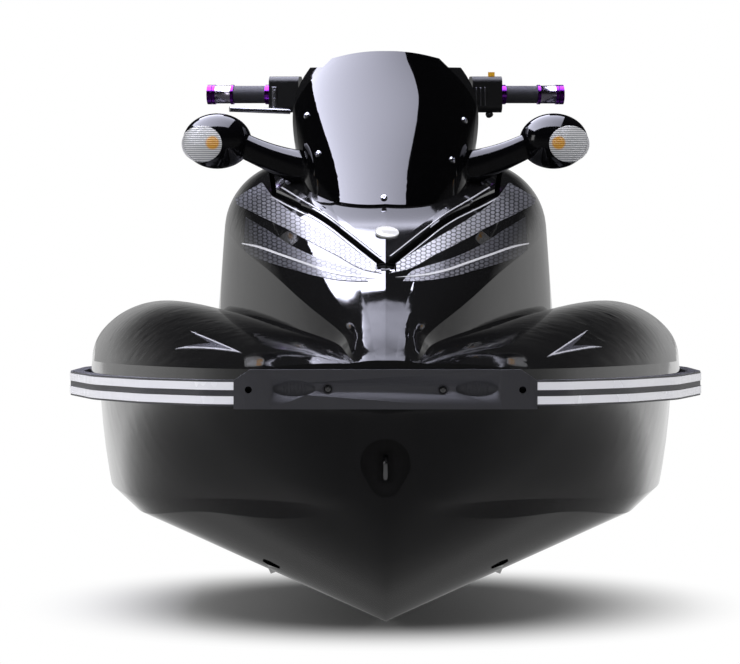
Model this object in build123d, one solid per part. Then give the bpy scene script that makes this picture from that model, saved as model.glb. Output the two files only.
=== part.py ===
from build123d import *
import math
import os

# A personal watercraft in millimetres. The bow points to -Y, +X is the rider's left and Z = 0 is the waterline.

# Driving sizes of the whole craft
LENGTH = 3120
BEAM = 1180
KEEL_Z = -246
RAIL_Z = 185
RAIL_SLOPE = 0.015
HULL_FLANGE = 8
RAIL_HEIGHT = 44
RAIL_DEPTH = 25
STRIPE_HEIGHT = 13.5
STRIPE_PITCH = 24
STRIPE_DEPTH = 3

# Running gap between the lid and the deck, and the gap round soft pads
LID_GAP = 8
SOFT_GAP = 0.3
PIN_GAP = 0.5

BOW_Y = -LENGTH / 2
HALF_BEAM = BEAM / 2

os.makedirs("parts", exist_ok=True)

# The hull and deck meet on one plane that rises gently towards the bow
PARTING = Plane(origin=(0, 0, RAIL_Z), x_dir=(1, 0, 0), z_dir=(0, RAIL_SLOPE, 1))


def rail_height_at(y):
    """Height of the middle of the rub rail at a place along the craft."""
    return RAIL_Z - RAIL_SLOPE * y


def save(name, shape):
    """Write one piece to its own file."""
    export_step(shape, f"parts/{name}.step")


def block(x_low, x_high, y_low, y_high, z_low, z_high):
    """A box between two corners."""
    size = (x_high - x_low, y_high - y_low, z_high - z_low)
    middle = ((x_low + x_high) / 2, (y_low + y_high) / 2, (z_low + z_high) / 2)
    return Pos(*middle) * Box(*size)


def rod(start, end, radius):
    """A round bar between two points."""
    run = Vector(*end) - Vector(*start)
    ground = Plane(origin=start, z_dir=run.normalized())
    return extrude(ground * Circle(radius), amount=run.length)


def both_sides(shape):
    """A piece and its mirror image across the centre line."""
    return Part() + [shape, mirror(shape, about=Plane.YZ)]


def shared(first, second):
    """The solids that two forms have in common."""
    return Part() + (first & second).solids()


def cross_section(y, start, spans):
    """A closed section, symmetric about X = 0. Each span is an end point, or a point on an arc and the arc's end."""
    right = []
    here = start
    for span in spans:
        points = [(x, y, z) for x, z in (here, *span)]
        curve = Line if len(span) == 1 else ThreePointArc
        right.append(curve(*points).edge())
        here = span[-1]
    left = [edge.mirror(Plane.YZ) for edge in reversed(right)]
    return make_face(Wire([*right, *left]))


def half_space(plane):
    """A very large block on the positive side of a plane."""
    reach = 3 * LENGTH
    return extrude(plane * Rectangle(reach, reach), amount=reach)


# Hull
# Columns: y, keel z, chine corner x and z, side corner x and z, side middle x and z, x under the rail
HULL_SECTIONS = [
    (-1520, 172, 25, 175, 45, 178, 140, 192, 228),
    (-1446, 72, 40, 84, 58, 98, 172, 146, 276),
    (-1372, -12, 58, 16, 84, 26, 204, 114, 312),
    (-1298, -66, 98, -6, 124, 12, 240, 98, 336),
    (-1224, -104, 150, -16, 170, 12, 276, 92, 360),
    (-928, -180, 312, -18, 331, 6, 408, 90, 446),
    (-632, -225, 412, -34, 440, -4, 480, 90, 498),
    (-336, -240, 452, -38, 492, 0, 510, 90, 521),
    (-40, KEEL_Z, 466, -37, 511, 3, 524, 90, 531),
    (256, KEEL_Z, 468, -37, 514, 4, 526, 90, 532),
    (552, KEEL_Z, 468, -37, 514, 4, 526, 90, 532),
    (848, KEEL_Z, 467, -37, 513, 4, 525, 90, 531),
    (1144, KEEL_Z, 460, -40, 505, 1, 517, 89, 524),
    (1440, KEEL_Z, 446, -45, 492, -4, 503, 88, 508),
]
TRANSOM_Y = 1440
HULL_TOP = 260

hull_faces = []
for y, keel_z, chine_x, chine_z, side_x, side_z, mid_x, mid_z, rail_x in HULL_SECTIONS:
    spans = [
        ((chine_x, chine_z),),
        ((side_x, side_z),),
        ((mid_x, mid_z), (rail_x, rail_height_at(y))),
        ((rail_x, HULL_TOP),),
        ((0, HULL_TOP),),
    ]
    hull_faces.append(cross_section(y, (0, keel_z), spans))
hull_form = loft(hull_faces)

# Plan of the rub rail, as corners of a right half with the radius at each corner
# Columns: x, y, radius
RAIL_CORNERS = [
    (285, BOW_Y + 4, 130),
    (420, -1215, 700),
    (520, -740, 1500),
    (HALF_BEAM, -50, 2500),
    (HALF_BEAM, 750, 2000),
    (545, LENGTH / 2 - 4, 130),
]
corner_points = [(x, y) for x, y, radius in RAIL_CORNERS]
corner_points += [(-x, y) for x, y, radius in reversed(RAIL_CORNERS)]
corner_radii = [radius for x, y, radius in RAIL_CORNERS]
corner_radii += corner_radii[::-1]
rail_wire = FilletPolyline(*corner_points, radius=corner_radii, close=True)
RAIL_PLAN = make_face(rail_wire)


def rail_slab(outward, low, high):
    """The plan of the rail grown by a distance, as a slab between two heights above the parting plane."""
    plan = offset(RAIL_PLAN, amount=outward) if outward else RAIL_PLAN
    return extrude(PARTING.offset(low) * plan, amount=high - low)


# Engine room, shaft tunnel and pump tunnel
ENGINE_Y = (-60, 440)
ENGINE_HALF_WIDTH = 165
ENGINE_Z = (-150, 170)
ENGINE_ROOM = 25
PUMP_Z = -120
PUMP_BORE = 76
PUMP_WALL = 12
PUMP_Y = (1010, 1300)
TUNNEL_HALF_WIDTH = 112
TUNNEL_TOP = 5
INTAKE_Y = (640, 1010)
INTAKE_HALF_WIDTH = 70
INTAKE_LIP = 16
SHAFT_RADIUS = 12.5
SHAFT_TUNNEL_GAP = 4
RIDE_PLATE = 10
GRATE_DEPTH = 12
FLANGE_MARGIN = 2

hull_body = hull_form - half_space(PARTING)
hull_body = shared(hull_body, rail_slab(-RAIL_DEPTH - FLANGE_MARGIN, KEEL_Z * 3, HULL_TOP))
engine_bay = block(
    -ENGINE_HALF_WIDTH - ENGINE_ROOM,
    ENGINE_HALF_WIDTH + ENGINE_ROOM,
    ENGINE_Y[0] - ENGINE_ROOM,
    ENGINE_Y[1] + ENGINE_ROOM,
    ENGINE_Z[0],
    HULL_TOP,
)
tunnel = block(-TUNNEL_HALF_WIDTH, TUNNEL_HALF_WIDTH, PUMP_Y[0], LENGTH, KEEL_Z * 2, TUNNEL_TOP)
intake_side = make_face(
    Plane.YZ
    * Polyline(
        (INTAKE_Y[0], KEEL_Z * 2),
        (INTAKE_Y[0], KEEL_Z + INTAKE_LIP),
        (INTAKE_Y[1] + 1, PUMP_Z + PUMP_BORE),
        (INTAKE_Y[1] + 1, KEEL_Z * 2),
        close=True,
    )
)
intake = extrude(intake_side, amount=INTAKE_HALF_WIDTH, both=True)
shaft_tunnel = rod((0, ENGINE_Y[1], PUMP_Z), (0, PUMP_Y[0], PUMP_Z), SHAFT_RADIUS + SHAFT_TUNNEL_GAP)

# A strake runs along each side of the V bottom, and rises out of it at the bow
# Columns: y, keel z, rise to the chine per millimetre, depth of the strake
STRAKE_SECTIONS = [(-700, -221, 0.452, -4), (-336, -240, 0.447, 10), (256, KEEL_Z, 0.4466, 10), (1410, KEEL_Z, 0.4466, 10)]
STRAKE_X = 205
STRAKE_HALF_WIDTH = 15
STRAKE_ROOT = 6
strake_faces = []
for y, keel_z, rise, depth in STRAKE_SECTIONS:
    corners = [(STRAKE_X - STRAKE_HALF_WIDTH, STRAKE_ROOT), (STRAKE_X + 5, -depth), (STRAKE_X + STRAKE_HALF_WIDTH, STRAKE_ROOT)]
    strake_faces.append(make_face(Polyline(*[(x, y, keel_z + rise * x + up) for x, up in corners], close=True)))
strakes = both_sides(loft(strake_faces, ruled=True))

hull = hull_body + rail_slab(-RAIL_DEPTH, -HULL_FLANGE, 0) + strakes
hull = hull - engine_bay - tunnel - intake - shaft_tunnel

# The recess for the bow eye is an egg-shaped pocket in the stem
BOW_EYE_Z = 78
BOW_EYE_Y = -1402
RECESS_TOP = (43, 8)
RECESS_FOOT = (27, -24)
RECESS_TANGENT = [(37.2, -13.5), (23.4, -37.5), (-23.4, -37.5), (-37.2, -13.5)]
recess_plan = Pos(0, RECESS_TOP[1]) * Circle(RECESS_TOP[0]) + Pos(0, RECESS_FOOT[1]) * Circle(RECESS_FOOT[0])
recess_plan += make_face(Polyline(*RECESS_TANGENT, close=True))
recess_place = Plane(origin=(0, BOW_EYE_Y, BOW_EYE_Z), x_dir=(1, 0, 0), z_dir=(0, -1, 0))
recess = extrude(recess_place * recess_plan, amount=120)
hull = hull - recess
save("hull", hull)

# Deck, in one run from the bow to the stern. The valley beside the body becomes the footwell aft of the console.
# Columns: y, foot x and z, hump x and z, valley outer x and z, valley inner x and z, body side x and z,
# shoulder x and z, crown x and z, centre z
DECK_SECTIONS = [
    (-1526, 224, 248, 150, 256, 60, 258, 50, 259, 46, 260, 34, 262, 16, 263, 263),
    (-1448, 272, 247, 180, 270, 68, 266, 62, 267, 57, 273, 44, 279, 20, 281, 282),
    (-1370, 310, 246, 210, 279, 76, 274, 70, 276, 63, 286, 49, 296, 23, 301, 302),
    (-1291, 340, 245, 235, 286, 84, 281, 78, 283, 70, 298, 54, 313, 26, 320, 322),
    (-1056, 410, 242, 300, 305, 152, 300, 145, 304, 135, 347, 105, 379, 50, 393, 397),
    (-821, 463, 239, 352, 324, 226, 318, 218, 322, 206, 405, 170, 461, 85, 492, 498),
    (-586, 502, 236, 398, 338, 286, 325, 276, 328, 264, 447, 228, 524, 115, 563, 570),
    (-351, 529, 233, 424, 341, 318, 321, 305, 324, 293, 482, 264, 552, 140, 595, 604),
    (-116, 544, 229, 462, 328, 350, 292, 285, 288, 272, 450, 240, 520, 130, 560, 567),
    (119, 550, 225, 482, 306, 404, 206, 220, 204, 206, 352, 182, 436, 100, 458, 461),
    (354, 551, 220, 484, 300, 406, 198, 216, 197, 202, 338, 176, 426, 96, 447, 450),
    (589, 551, 217, 484, 294, 408, 196, 214, 196, 202, 336, 175, 425, 95, 446, 449),
    (824, 548, 213, 482, 286, 406, 195, 213, 195, 200, 330, 173, 420, 95, 442, 445),
    (1059, 540, 210, 474, 262, 400, 199, 213, 199, 190, 290, 160, 362, 90, 382, 385),
    (1118, 537, 209, 468, 250, 398, 204, 210, 203, 190, 250, 158, 310, 90, 322, 324),
    (1177, 534, 209, 462, 240, 395, 211, 207, 210, 188, 225, 154, 258, 88, 266, 267),
    (1294, 528, 207, 450, 226, 390, 220, 202, 220, 180, 221.5, 150, 223.5, 80, 225, 225),
    (1412, 514, 205, 440, 218, 386, 216, 201, 216, 175, 217, 145, 218, 80, 219, 219),
    (1529, 498, 203, 430, 209, 380, 211, 200, 211, 170, 211.5, 140, 212.5, 80, 213.5, 213.5),
]
DECK_FOOT_FLARE = 14
DECK_FLOOR = 100
deck_faces = []
for y, *places, centre_z in DECK_SECTIONS:
    foot, hump, outer, inner, side, shoulder, crown = zip(places[::2], places[1::2])
    spans = [((foot[0] + DECK_FOOT_FLARE, DECK_FLOOR),), (foot,), (hump, outer), (inner,), (side,), (shoulder, crown)]
    deck_faces.append(cross_section(y, (0, DECK_FLOOR), [*spans, ((0, centre_z),)]))
deck_form = shared(loft(deck_faces), half_space(PARTING))

# Plan of the lid, as a V that opens towards the rider. It lifts along a line that leans to the bow.
# Columns: x, y
LID_PLAN = [(0, -1010), (150, -690), (196, -560), (206, -355)]
LID_LEAN = 0.32
LID_THICKNESS = 22
LID_HINGE_Y = -1010
LID_GROUND_Z = 412
LID_HINGE_Z = 406
LID_BED = 15
HINGE_PIN = (3, 24)
HINGE_KNUCKLE = (6, 8)
HINGE_POCKET = (16, 20, 20)
LIP_WIDTH = 14
LIP_HEIGHT = 6
BUFFER_RADIUS = 12
BUFFER_PLACES = [(150, -450), (40, -860)]
LOCKER = (96, -790, -480, 225)


def lid_prism(grow):
    """The V-shaped column that the lid is cut from, grown sideways by a gap."""
    points = LID_PLAN + [(-x, y) for x, y in reversed(LID_PLAN[1:])]
    plan = make_face(Polyline(*points, close=True))
    if grow:
        plan = offset(plan, amount=grow, kind=Kind.INTERSECTION)
    ground = Pos(0, 0, LID_GROUND_Z) * plan
    lean = Vector(0, -LID_LEAN, 1)
    column = extrude(ground, amount=500 * lean.length, dir=lean)
    return column + extrude(ground, amount=400 * lean.length, dir=-lean)


lid_floor = Pos(0, 0, -LID_THICKNESS) * deck_form
lid_column = lid_prism(0)
lid = shared(deck_form, lid_column) - lid_floor

# The lid's V edges stand up in a lip, and its tip turns on a short pin across the deck's pocket
lip_band = lid_column - Pos(0, LIP_WIDTH, 0) * lid_prism(-LIP_WIDTH) - block(-400, 400, -460, 0, 0, 900)
lip = shared(Pos(0, 0, LIP_HEIGHT) * deck_form, lip_band) - Pos(0, 0, -LID_THICKNESS / 2) * deck_form


def hinge_rod(radius, half_length):
    """A round bar on the hinge's axis, centred on the craft."""
    return rod((-half_length, LID_HINGE_Y, LID_HINGE_Z), (half_length, LID_HINGE_Y, LID_HINGE_Z), radius)


knuckle = hinge_rod(*HINGE_KNUCKLE) + block(
    -HINGE_KNUCKLE[1], HINGE_KNUCKLE[1], LID_HINGE_Y, LID_HINGE_Y + 30, LID_HINGE_Z - HINGE_KNUCKLE[0], LID_HINGE_Z + 2
)
lid = lid + lip + knuckle - hinge_rod(HINGE_PIN[0] + PIN_GAP, HINGE_KNUCKLE[1] + 5)
locker = block(-LOCKER[0], LOCKER[0], LOCKER[1], LOCKER[2], LOCKER[3], 700)
seat_base_bay = block(
    -ENGINE_HALF_WIDTH + 40,
    ENGINE_HALF_WIDTH - 40,
    ENGINE_Y[0],
    ENGINE_Y[1],
    100,
    ENGINE_Z[1] + ENGINE_ROOM + 20,
)
lid_bed = Pos(0, 0, -LID_THICKNESS - LID_BED) * deck_form
pocket_half, pocket_reach, pocket_depth = HINGE_POCKET
hinge_pocket = block(
    -pocket_half,
    pocket_half,
    LID_HINGE_Y - pocket_reach,
    LID_HINGE_Y + pocket_reach,
    LID_HINGE_Z - pocket_depth,
    LID_HINGE_Z + 60,
)
deck = deck_form - (lid_prism(LID_GAP) - lid_bed) - locker - hinge_pocket
deck = shared(deck, rail_slab(-RAIL_DEPTH - FLANGE_MARGIN, 0, 900))
deck += rail_slab(-RAIL_DEPTH, 0, HULL_FLANGE)
deck = deck - seat_base_bay
pin_bar = hinge_rod(*HINGE_PIN)
deck = deck - pin_bar
save("deck", deck)
save("lid_hinge_pin", pin_bar)

# Rubber buffers on the deck carry the closed lid
lid_seat = Pos(0, 0, -LID_THICKNESS - SOFT_GAP) * deck_form
buffers = Part()
for x, y in BUFFER_PLACES:
    column = both_sides(Pos(x, y, 450) * Cylinder(BUFFER_RADIUS, 400))
    buffers += shared(column, lid_seat) - lid_bed
save("lid_buffers", buffers)
save("hood", lid)

# Engine, as one plain block
engine = block(-ENGINE_HALF_WIDTH, ENGINE_HALF_WIDTH, *ENGINE_Y, *ENGINE_Z)
save("engine", engine)

# Rub rail with two stripes let into it, open at the bow for the bumper
BUMPER_HALF_WIDTH = 256
BUMPER_BELOW = 27
BUMPER_ABOVE = 40
bow_window = block(-BUMPER_HALF_WIDTH, BUMPER_HALF_WIDTH, -LENGTH, -900, -400, 800)
rail = rail_slab(0, -RAIL_HEIGHT / 2, RAIL_HEIGHT / 2) - rail_slab(-RAIL_DEPTH, -RAIL_HEIGHT, RAIL_HEIGHT)
stripes = Part()
for side in (-1, 1):
    low = side * STRIPE_PITCH / 2 - STRIPE_HEIGHT / 2
    ring = rail_slab(1.5, low, low + STRIPE_HEIGHT) - rail_slab(1.5 - STRIPE_DEPTH, -RAIL_HEIGHT, RAIL_HEIGHT)
    stripes += ring
rail = rail - stripes - bow_window
stripes = stripes - bow_window
save("rub_rail", rail)
save("rail_stripes", stripes)

# Bow bumper
bumper = rail_slab(4, -BUMPER_BELOW, BUMPER_ABOVE) - rail_slab(-RAIL_DEPTH, -RAIL_HEIGHT, RAIL_HEIGHT * 2)
bumper = shared(bumper, bow_window)

# Each half of the bumper has a lens-shaped scoop, a fixing hole and a sloping end
SCOOP = (154, 216, 36, 13)
SCOOP_FLOOR_Y = BOW_Y + 8
FIXING = (231, 214, 6)
END_SLOPE = [(208, 262), (258, 228), (320, 228), (320, 300), (208, 300)]
front_plane = Plane(origin=(0, SCOOP_FLOOR_Y, 0), x_dir=(1, 0, 0), z_dir=(0, -1, 0))
scoop_x, scoop_z, scoop_half_width, scoop_half_height = SCOOP
scoops = extrude(front_plane * Pos(scoop_x, scoop_z) * Ellipse(scoop_half_width, scoop_half_height), amount=40)
fixing_x, fixing_z, fixing_radius = FIXING
fixings = rod((fixing_x, BOW_Y + 38, fixing_z), (fixing_x, BOW_Y - 20, fixing_z), fixing_radius)
slopes = extrude(make_face(Plane.XZ * Polyline(*END_SLOPE, close=True)), amount=LENGTH, both=True)
slopes = shared(slopes, bow_window)
bumper = bumper - both_sides(scoops) - both_sides(fixings) - both_sides(slopes)
save("bow_bumper", bumper)

# Towing eyes: a bent bar on a plate, one in the stem and two on the transom
EYE_BAR = 5
EYE_REACH = 30
EYE_HALF_HEIGHT = 18
EYE_PLATE = (12, 27, 3)


def towing_eye(x, y, z, facing):
    """An eye whose plate stands on a wall at a place, and whose bar points along Y with the given sign."""
    half_width, half_height, thickness = EYE_PLATE
    near = y + facing * thickness
    far = y + facing * EYE_REACH
    low, high = sorted((y, near))
    plate = block(x - half_width, x + half_width, low, high, z - half_height, z + half_height)
    path = FilletPolyline(
        (x, near, z + EYE_HALF_HEIGHT),
        (x, far, z + EYE_HALF_HEIGHT),
        (x, far, z - EYE_HALF_HEIGHT),
        (x, near, z - EYE_HALF_HEIGHT),
        radius=12,
    )
    start = Plane(origin=(x, near, z + EYE_HALF_HEIGHT), z_dir=(0, facing, 0))
    return plate + sweep(start * Circle(EYE_BAR), path=path)


save("bow_eye", towing_eye(0, BOW_EYE_Y, BOW_EYE_Z, -1))

# Cowl over the instruments, standing on the lid
# Columns: z, half width, front y, rear y
COWL_LEVELS = [
    (440, 126, -800, -500),
    (520, 142, -762, -470),
    (590, 157, -718, -452),
    (660, 167, -668, -445),
    (725, 160, -616, -445),
    (768, 136, -586, -450),
    (810, 104, -562, -455),
]
COWL_TOP_Z = 768
SCREEN_GAP = 0.3
SCREEN_THICKNESS = 4
SCREEN_REAR_Y = -545

# Right half of the windscreen's outline, seen from the front
# Columns: x, z, corner radius
SCREEN_CORNERS = [(70, 505, 34), (154, 604, 90), (166, 716, 70), (122, 778, 55), (44, 797, 300)]


def cowl_form(grow):
    """The outer form of the cowl and of the screen above it, grown all round by a distance."""
    faces = []
    for z, half_width, front_y, rear_y in COWL_LEVELS:
        side_x = half_width + grow
        rear_x = half_width * 0.86 + grow
        side_y = front_y + 0.55 * (rear_y - front_y)
        nose = ThreePointArc((-side_x, side_y, z), (0, front_y - grow, z), (side_x, side_y, z))
        rear = Polyline((side_x, side_y, z), (rear_x, rear_y, z), (-rear_x, rear_y, z), (-side_x, side_y, z))
        faces.append(make_face(Wire([nose.edge(), *rear.edges()])))
    return loft(faces)


cowl = shared(cowl_form(0), block(-400, 400, -LENGTH, 0, 0, COWL_TOP_Z)) - deck_form
save("cowl", cowl)

screen_outer = cowl_form(SCREEN_GAP + SCREEN_THICKNESS)
screen_inner = cowl_form(SCREEN_GAP)
screen_points = [(x, z) for x, z, radius in SCREEN_CORNERS] + [(-x, z) for x, z, radius in reversed(SCREEN_CORNERS)]
screen_radii = [radius for x, z, radius in SCREEN_CORNERS]
screen_radii += screen_radii[::-1]
screen_window = make_face(Plane.XZ * FilletPolyline(*screen_points, radius=screen_radii, close=True))
windscreen = shared(screen_outer - screen_inner, extrude(screen_window, amount=LENGTH, both=True))
windscreen = shared(windscreen, block(-400, 400, -LENGTH, SCREEN_REAR_Y, 0, 900))
windscreen = windscreen - Pos(0, 0, SCREEN_THICKNESS) * deck_form
save("windscreen", windscreen)

# Mirrors: arm, egg-shaped housing, glass, signal lens and bulb
MIRROR_X = 303
MIRROR_Y = -560
MIRROR_Z = 635
MIRROR_HALF_WIDTH = 62
MIRROR_HALF_HEIGHT = 50
MIRROR_FRONT = 42
MIRROR_REAR = 18
MIRROR_GLASS = (48, 37, 5)
LENS = (28, -5, 37, 33)
LENS_WALL = 4
LENS_FLOOR_Y = -6
BULB_RADIUS = 10
# Columns: x, y, z, half height, half depth
ARM_SECTIONS = [(140, -590, 582, 35, 24), (205, -575, 604, 27, 20), (262, -562, 630, 25, 18)]
for name, side in (("left", 1), ("right", -1)):
    place = Pos(side * MIRROR_X, MIRROR_Y, MIRROR_Z)
    egg = scale(Sphere(1), by=(MIRROR_HALF_WIDTH, MIRROR_FRONT, MIRROR_HALF_HEIGHT))
    egg_inside = scale(
        Sphere(1), by=(MIRROR_HALF_WIDTH - LENS_WALL, MIRROR_FRONT - LENS_WALL, MIRROR_HALF_HEIGHT - LENS_WALL)
    )
    lens_x, lens_z, lens_half_width, lens_half_height = LENS
    lens_place = Plane(origin=(0, LENS_FLOOR_Y, 0), x_dir=(1, 0, 0), z_dir=(0, -1, 0))
    lens_plan = Pos(side * lens_x, lens_z) * Ellipse(lens_half_width, lens_half_height)
    lens_column = extrude(lens_place * lens_plan, amount=80)
    lens = shared(egg, lens_column) - egg_inside
    glass_place = Plane(origin=(0, MIRROR_REAR, 0), z_dir=(0, -1, 0))
    glass = extrude(glass_place * Ellipse(*MIRROR_GLASS[:2]), amount=MIRROR_GLASS[2])
    housing = shared(egg, block(-100, 100, -100, MIRROR_REAR, -100, 100)) - glass - lens_column
    bulb_centre = (side * (lens_x - 6), LENS_FLOOR_Y - 14, lens_z)
    bulb = Pos(*bulb_centre) * Sphere(BULB_RADIUS)
    bulb += rod((bulb_centre[0], LENS_FLOOR_Y, lens_z), bulb_centre, BULB_RADIUS * 0.7)
    arm_faces = []
    for x, y, z, half_height, half_depth in ARM_SECTIONS:
        arm_place = Plane(origin=(side * x, y, z), x_dir=(0, 1, 0), z_dir=(side, 0, 0))
        arm_faces.append(arm_place * Ellipse(half_depth, half_height))
    arm = loft(arm_faces) - cowl - windscreen - deck_form - place * egg
    arm = arm.solids().sort_by(SortBy.VOLUME)[-1]
    save(f"mirror_housing_{name}", place * housing)
    save(f"mirror_glass_{name}", place * glass)
    save(f"signal_lens_{name}", place * lens)
    save(f"signal_bulb_{name}", place * bulb)
    save(f"mirror_arm_{name}", arm)

# Instrument display on the back of the cowl
display_place = Plane(origin=(0, -460, 680), x_dir=(1, 0, 0), z_dir=(0, 1, 0))
display = extrude(display_place * RectangleRounded(140, 80, 14), amount=28) - cowl
display = display.solids().sort_by(Axis.Y)[-1]
save("instrument_display", display)

# Steering: a tilted column in a collar, the bar and its pad
COLUMN_TILT = 20
COLUMN_TOP = (0, -300, 715)
COLUMN_RADIUS = 19
COLLAR_RADIUS = 42
lean = math.radians(COLUMN_TILT)
COLUMN_DIR = Vector(0, math.sin(lean), math.cos(lean))


def on_column(distance):
    """A point on the column's axis, measured down from the bar."""
    return Vector(*COLUMN_TOP) - COLUMN_DIR * distance


collar = rod(tuple(on_column(180)), tuple(on_column(88)), COLLAR_RADIUS) - deck_form
save("steering_collar", collar)
column = rod(tuple(on_column(88 - PIN_GAP)), tuple(on_column(-18)), COLUMN_RADIUS)
BAR_RADIUS = 11
BAR_HALF_LENGTH = 318
BAR_SWEEP = 34
BAR_BEND_X = 110
BAR_Y = COLUMN_TOP[1]
BAR_Z = 721
bar_path = FilletPolyline(
    (-BAR_HALF_LENGTH, BAR_Y + BAR_SWEEP, BAR_Z),
    (-BAR_BEND_X, BAR_Y, BAR_Z),
    (BAR_BEND_X, BAR_Y, BAR_Z),
    (BAR_HALF_LENGTH, BAR_Y + BAR_SWEEP, BAR_Z),
    radius=160,
)
bar_start = Plane(origin=bar_path @ 0, z_dir=bar_path % 0)
bar = sweep(bar_start * Circle(BAR_RADIUS), path=bar_path)
column = column - bar
save("handlebar", bar)
save("steering_column", column)
pad = block(-60, 60, BAR_Y - 32, BAR_Y + 32, BAR_Z - 3, BAR_Z + 41)
pad = fillet(pad.edges().group_by(Axis.Z)[-1] + pad.edges().filter_by(Axis.Z), 14) - bar - column
save("handlebar_pad", pad)

# Grips, their collars and the two switch housings
GRIP_RADIUS = 16
for name, side in (("left", 1), ("right", -1)):
    outer = Vector(side * BAR_HALF_LENGTH, BAR_Y + BAR_SWEEP, BAR_Z)
    inner = Vector(side * BAR_BEND_X, BAR_Y, BAR_Z)
    along = (outer - inner).normalized()
    grip_start = outer - along * 100
    grip = rod(tuple(grip_start), tuple(outer), GRIP_RADIUS) - bar
    save(f"grip_{name}", grip)
    end_cap = rod(tuple(outer), tuple(outer + along * 8), GRIP_RADIUS + 2)
    inner_ring = rod(tuple(grip_start - along * 8), tuple(grip_start), GRIP_RADIUS + 2) - bar
    save(f"grip_collars_{name}", end_cap + inner_ring)
    housing_start = grip_start - along * 64
    ground = Plane(origin=housing_start, x_dir=(0, 0, 1), z_dir=along)
    housing = extrude(ground * RectangleRounded(66, 44, 12), amount=55) - bar
    if side > 0:
        switch_body = housing
        save("switch_housing", housing)
    else:
        throttle_body = housing
        save("throttle_housing", housing)
button = block(188, 200, BAR_Y + 4, BAR_Y + 16, BAR_Z + 27, BAR_Z + 41) - switch_body
save("start_button", button)
lever = rod((-175, BAR_Y - 6, BAR_Z - 31), (-285, BAR_Y - 36, BAR_Z - 27), 5) - throttle_body
save("throttle_lever", lever)

# Seats, grab rail, mats and fuel cap
SEAT_HALF_WIDTH = 160
seat_ground = Pos(0, 0, SOFT_GAP) * deck_form
seat_front = block(-SEAT_HALF_WIDTH, SEAT_HALF_WIDTH, 15, 460, 440, 545) - seat_ground
seat_rear = block(-SEAT_HALF_WIDTH, SEAT_HALF_WIDTH, 460 + SOFT_GAP, 870, 440, 560) - seat_ground
save("seat_front", seat_front)
save("seat_rear", seat_rear)
grab_path = FilletPolyline((-110, 895, 420), (-110, 990, 520), (110, 990, 520), (110, 895, 420), radius=30)
grab = sweep(Plane(origin=grab_path @ 0, z_dir=grab_path % 0) * Circle(12), path=grab_path) - deck_form
save("grab_rail", grab)
MAT_THICKNESS = 5
mat_top = Pos(0, 0, MAT_THICKNESS) * deck_form
mats = shared(mat_top, both_sides(block(228, 396, 150, 850, 150, 260))) - deck_form
save("footwell_mats", mats)
rear_mat = shared(mat_top, block(-360, 360, 1240, 1470, 150, 260)) - deck_form
save("rear_deck_mat", rear_mat)
save("fuel_cap", Pos(0, -232, 600) * Cylinder(38, 30) - deck_form)

# Stern fittings
STERN_EYE_X = 290
STERN_EYE_Z = 70
stern_eyes = both_sides(towing_eye(STERN_EYE_X, TRANSOM_Y, STERN_EYE_Z, 1))
save("stern_eyes", stern_eyes)
plugs = both_sides(rod((180, 1440, -60), (180, 1452, -60), 16))
save("drain_plugs", plugs)
shell_top = Pos(0, 0, RIDE_PLATE) * hull_form
ride_plate = shared(hull_form, tunnel) - shell_top
save("ride_plate", ride_plate)
SLOT_WIDTH = 20
SLOT_PITCH = 27
grate = shared(hull_form, intake) - Pos(0, 0, GRATE_DEPTH) * hull_form - tunnel
for place in range(-2, 3):
    middle = place * SLOT_PITCH
    grate -= block(middle - SLOT_WIDTH / 2, middle + SLOT_WIDTH / 2, INTAKE_Y[0] + 25, INTAKE_Y[1] - 25, KEEL_Z, 0)
save("intake_grate", grate)

# Pump with its outlet cone, and the two arms that carry the nozzle
OUTLET_RADIUS = 38
OUTLET_END_Y = 1440
CONE_END_Y = 1385
NOZZLE_PIVOT_Y = 1430
BELL_RADIUS = 58
BELL_WALL = 5
NOZZLE_ARM = (70, 78)
NOZZLE_PIN_RADIUS = 9
NOZZLE_RADIUS = 40
NOZZLE_END_Y = 1530
outer = PUMP_BORE + PUMP_WALL
pump_profile = Polyline(
    (PUMP_BORE, PUMP_Y[0]),
    (outer, PUMP_Y[0]),
    (outer, PUMP_Y[1]),
    (OUTLET_RADIUS, CONE_END_Y),
    (OUTLET_RADIUS, OUTLET_END_Y),
    (OUTLET_RADIUS - BELL_WALL, OUTLET_END_Y),
    (OUTLET_RADIUS - BELL_WALL, CONE_END_Y),
    (PUMP_BORE, PUMP_Y[1] - 20),
    close=True,
)
pump = Pos(0, 0, PUMP_Z) * revolve(make_face(pump_profile), axis=Axis.Y)
for side in (-1, 1):
    low, high = sorted((side * NOZZLE_ARM[0], side * NOZZLE_ARM[1]))
    pump += block(-16, 16, PUMP_Y[1] - 10, NOZZLE_PIVOT_Y + 18, PUMP_Z + low, PUMP_Z + high)
pump -= Pos(0, NOZZLE_PIVOT_Y, PUMP_Z) * Cylinder(NOZZLE_PIN_RADIUS + PIN_GAP, 200)
pump -= rod((0, 0, PUMP_Z), (0, PUMP_Y[1] - 20, PUMP_Z), PUMP_BORE)

# Fixed vanes behind the impeller, on a hub that ends in a cone
VANE_COUNT = 7
VANE_Y = (1238, 1284)
VANE_THICKNESS = 4
hub_profile = Polyline((0, VANE_Y[0]), (28, VANE_Y[0]), (28, VANE_Y[1]), (4, VANE_Y[1] + 60), (0, VANE_Y[1] + 60), close=True)
stator = revolve(make_face(hub_profile), axis=Axis.Y)
for turn in range(VANE_COUNT):
    vane = block(-VANE_THICKNESS / 2, VANE_THICKNESS / 2, *VANE_Y, 20, PUMP_BORE + 2)
    stator += Rot(0, 360 / VANE_COUNT * turn, 0) * vane
pump += Pos(0, 0, PUMP_Z) * stator

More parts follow.
